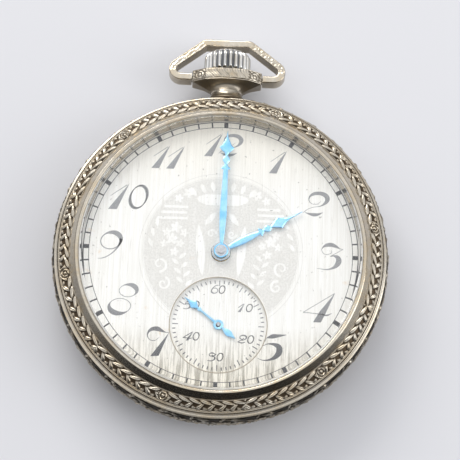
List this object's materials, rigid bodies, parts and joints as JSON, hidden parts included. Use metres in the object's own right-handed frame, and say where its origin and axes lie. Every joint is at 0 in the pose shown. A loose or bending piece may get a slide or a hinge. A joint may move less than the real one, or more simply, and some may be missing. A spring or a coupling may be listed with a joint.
{
  "type": "open face pocket watch",
  "caption": "Round open face pocket watch with snap bezel and back, bow and crown on a pendant, small seconds, and a lever movement inside.",
  "frame": {"origin": "middle of the back's flat face, on the axis of the hands", "axes": "+Z out of the dial, +Y from the hands' axis to twelve o'clock and the pendant, +X to three o'clock"},
  "size_m": [0.0454, 0.0546, 0.0103],
  "materials": {
    "case_gold": "engraved white gold filled, polished lands",
    "crystal": "clear polished",
    "crown_nickel": "polished nickel",
    "plate_nickel": "damascened nickel",
    "steel": "polished steel",
    "blued_steel": "blued",
    "gilt_brass": "gilt",
    "dial_silver": "silvered, vertical grain",
    "ruby": "polished ruby"
  },
  "bodies": {
    "case": {"case_centre": "case_gold", "pendant": "case_gold", "pendant_sleeve": "steel", "main_plate": "plate_nickel", "barrel_bridge": "plate_nickel", "train_bridge": "plate_nickel", "pallet_bridge": "plate_nickel", "balance_cock": "plate_nickel", "bridge_screws": "blued_steel", "case_screws": "blued_steel", "train_jewels": "ruby", "cap_jewel": "ruby", "crown_wheel_screw": "steel", "setting_bridge": "plate_nickel", "dial": "dial_silver", "seconds_dial": "dial_silver", "dial_feet": "gilt_brass", "dial_screws": "steel", "click_spring": "steel", "hairspring": "blued_steel"},
    "bezel": {"bezel": "case_gold", "crystal": "crystal"},
    "back": {"back_cover": "case_gold"},
    "bow": {"bow": "case_gold"},
    "winding_arbor": {"winding_arbor": "steel", "winding_pinion": "steel"},
    "crown": {"crown": "crown_nickel", "pendant_stem": "steel"},
    "clutch": {"clutch_wheel": "steel"},
    "clutch_lever": {"clutch_lever": "steel"},
    "crown_wheel": {"crown_wheel": "steel"},
    "ratchet": {"ratchet_wheel": "steel", "ratchet_screw": "steel", "barrel_arbor": "steel"},
    "click": {"click": "steel"},
    "regulator": {"regulator": "steel"},
    "centre": {"centre_wheel": "gilt_brass", "centre_arbor": "steel", "cannon_pinion": "steel", "minute_hand": "blued_steel"},
    "hour": {"hour_wheel": "gilt_brass", "hour_hand": "blued_steel"},
    "minute_wheel": {"minute_wheel": "gilt_brass"},
    "idler": {"idler_wheel": "steel"},
    "setting": {"setting_wheel": "steel"},
    "barrel": {"barrel": "gilt_brass", "barrel_cover": "gilt_brass", "mainspring": "blued_steel"},
    "third": {"third_wheel": "gilt_brass", "third_pinion": "steel"},
    "fourth": {"fourth_wheel": "gilt_brass", "fourth_pinion": "steel", "seconds_hand": "blued_steel"},
    "escape": {"escape_wheel": "steel", "escape_pinion": "steel"},
    "pallet": {"pallet_fork": "steel", "pallet_stones": "ruby"},
    "balance": {"balance_wheel": "gilt_brass", "balance_screws": "gilt_brass", "balance_staff": "steel"}
  },
  "joints": [
    {"name": "bezel_lift", "type": "slide", "parent": "case", "child": "bezel", "axis": [0, 0, 1], "range_m": [0, 0.008]},
    {"name": "back_off", "type": "slide", "parent": "case", "child": "back", "axis": [0, 0, -1], "range_m": [0, 0.008]},
    {"name": "bow_swing", "type": "hinge", "parent": "case", "child": "bow", "pos_m": [0, 0.02585, 0.0046], "axis": [1, 0, 0], "range_deg": [-85, 100]},
    {"name": "crown_turn", "type": "hinge", "parent": "case", "child": "winding_arbor", "pos_m": [0, 0.02585, 0.0046], "axis": [0, 1, 0], "continuous": true},
    {"name": "crown_pull", "type": "slide", "parent": "winding_arbor", "child": "crown", "axis": [0, 1, 0], "range_m": [0, 0.0008]},
    {"name": "clutch_slide", "type": "slide", "parent": "winding_arbor", "child": "clutch", "axis": [0, -1, 0], "range_m": [0, 0.0008]},
    {"name": "clutch_lever_rock", "type": "hinge", "parent": "case", "child": "clutch_lever", "pos_m": [0.0052, 0.01295, 0.0046], "axis": [0, 0, 1], "range_deg": [0, 12.39]},
    {"name": "crown_wheel_turn", "type": "hinge", "parent": "case", "child": "crown_wheel", "pos_m": [0, 0.01182, 0.0015], "axis": [0, 0, 1], "continuous": true},
    {"name": "ratchet_turn", "type": "hinge", "parent": "case", "child": "ratchet", "pos_m": [-0.007, 0.0049, 0.0015], "axis": [0, 0, 1], "continuous": true},
    {"name": "click_rock", "type": "hinge", "parent": "case", "child": "click", "pos_m": [-0.01086, 0.01216, 0.0015], "axis": [0, 0, 1], "range_deg": [0, 8], "stiffness_Nm_per_rad": 0.0002},
    {"name": "regulator_turn", "type": "hinge", "parent": "case", "child": "regulator", "pos_m": [-0.01083, -0.00647, 0.0015], "axis": [0, 0, 1], "range_deg": [-15, 15]},
    {"name": "hands_turn", "type": "hinge", "parent": "case", "child": "centre", "pos_m": [0, 0, 0.0052], "axis": [0, 0, -1], "continuous": true},
    {"name": "hour_turn", "type": "hinge", "parent": "case", "child": "hour", "pos_m": [0, 0, 0.0052], "axis": [0, 0, -1], "continuous": true},
    {"name": "minute_wheel_turn", "type": "hinge", "parent": "case", "child": "minute_wheel", "pos_m": [0.00115, 0.00316, 0.0052], "axis": [0, 0, -1], "continuous": true},
    {"name": "idler_turn", "type": "hinge", "parent": "case", "child": "idler", "pos_m": [0.00142, 0.00742, 0.0052], "axis": [0, 0, -1], "continuous": true},
    {"name": "setting_turn", "type": "hinge", "parent": "case", "child": "setting", "pos_m": [0, 0.011, 0.0052], "axis": [0, 0, -1], "continuous": true},
    {"name": "barrel_turn", "type": "hinge", "parent": "case", "child": "barrel", "pos_m": [-0.007, 0.0049, 0.0052], "axis": [0, 0, -1], "continuous": true},
    {"name": "third_turn", "type": "hinge", "parent": "case", "child": "third", "pos_m": [0.00413, -0.00562, 0.0052], "axis": [0, 0, -1], "continuous": true},
    {"name": "seconds_turn", "type": "hinge", "parent": "case", "child": "fourth", "pos_m": [0, -0.0099, 0.0052], "axis": [0, 0, -1], "continuous": true},
    {"name": "escape_turn", "type": "hinge", "parent": "case", "child": "escape", "pos_m": [-0.00483, -0.00839, 0.0052], "axis": [0, 0, -1], "continuous": true},
    {"name": "pallet_rock", "type": "hinge", "parent": "case", "child": "pallet", "pos_m": [-0.00768, -0.00746, 0.0052], "axis": [0, 0, 1], "range_deg": [-5, 5]},
    {"name": "balance_swing", "type": "hinge", "parent": "case", "child": "balance", "pos_m": [-0.01083, -0.00647, 0.0052], "axis": [0, 0, 1], "range_deg": [-270, 270], "stiffness_Nm_per_rad": 0.0000003, "deforming": ["hairspring"]}
  ],
  "couplings": [
    {"joint": "clutch_slide", "follows": "crown_pull", "ratio": 1},
    {"joint": "clutch_lever_rock", "follows": "crown_pull", "rad_per_m": 270.27},
    {"joint": "crown_wheel_turn", "follows": "crown_turn", "ratio": 0.51613},
    {"joint": "ratchet_turn", "follows": "crown_turn", "ratio": -0.31373},
    {"joint": "hour_turn", "follows": "hands_turn", "ratio": 0.083333},
    {"joint": "minute_wheel_turn", "follows": "hands_turn", "ratio": -0.33333},
    {"joint": "idler_turn", "follows": "hands_turn", "ratio": 0.48},
    {"joint": "setting_turn", "follows": "hands_turn", "ratio": -0.4},
    {"joint": "barrel_turn", "follows": "hands_turn", "ratio": -0.125},
    {"joint": "third_turn", "follows": "hands_turn", "ratio": -8},
    {"joint": "seconds_turn", "follows": "hands_turn", "ratio": 60},
    {"joint": "escape_turn", "follows": "hands_turn", "ratio": -600}
  ]
}
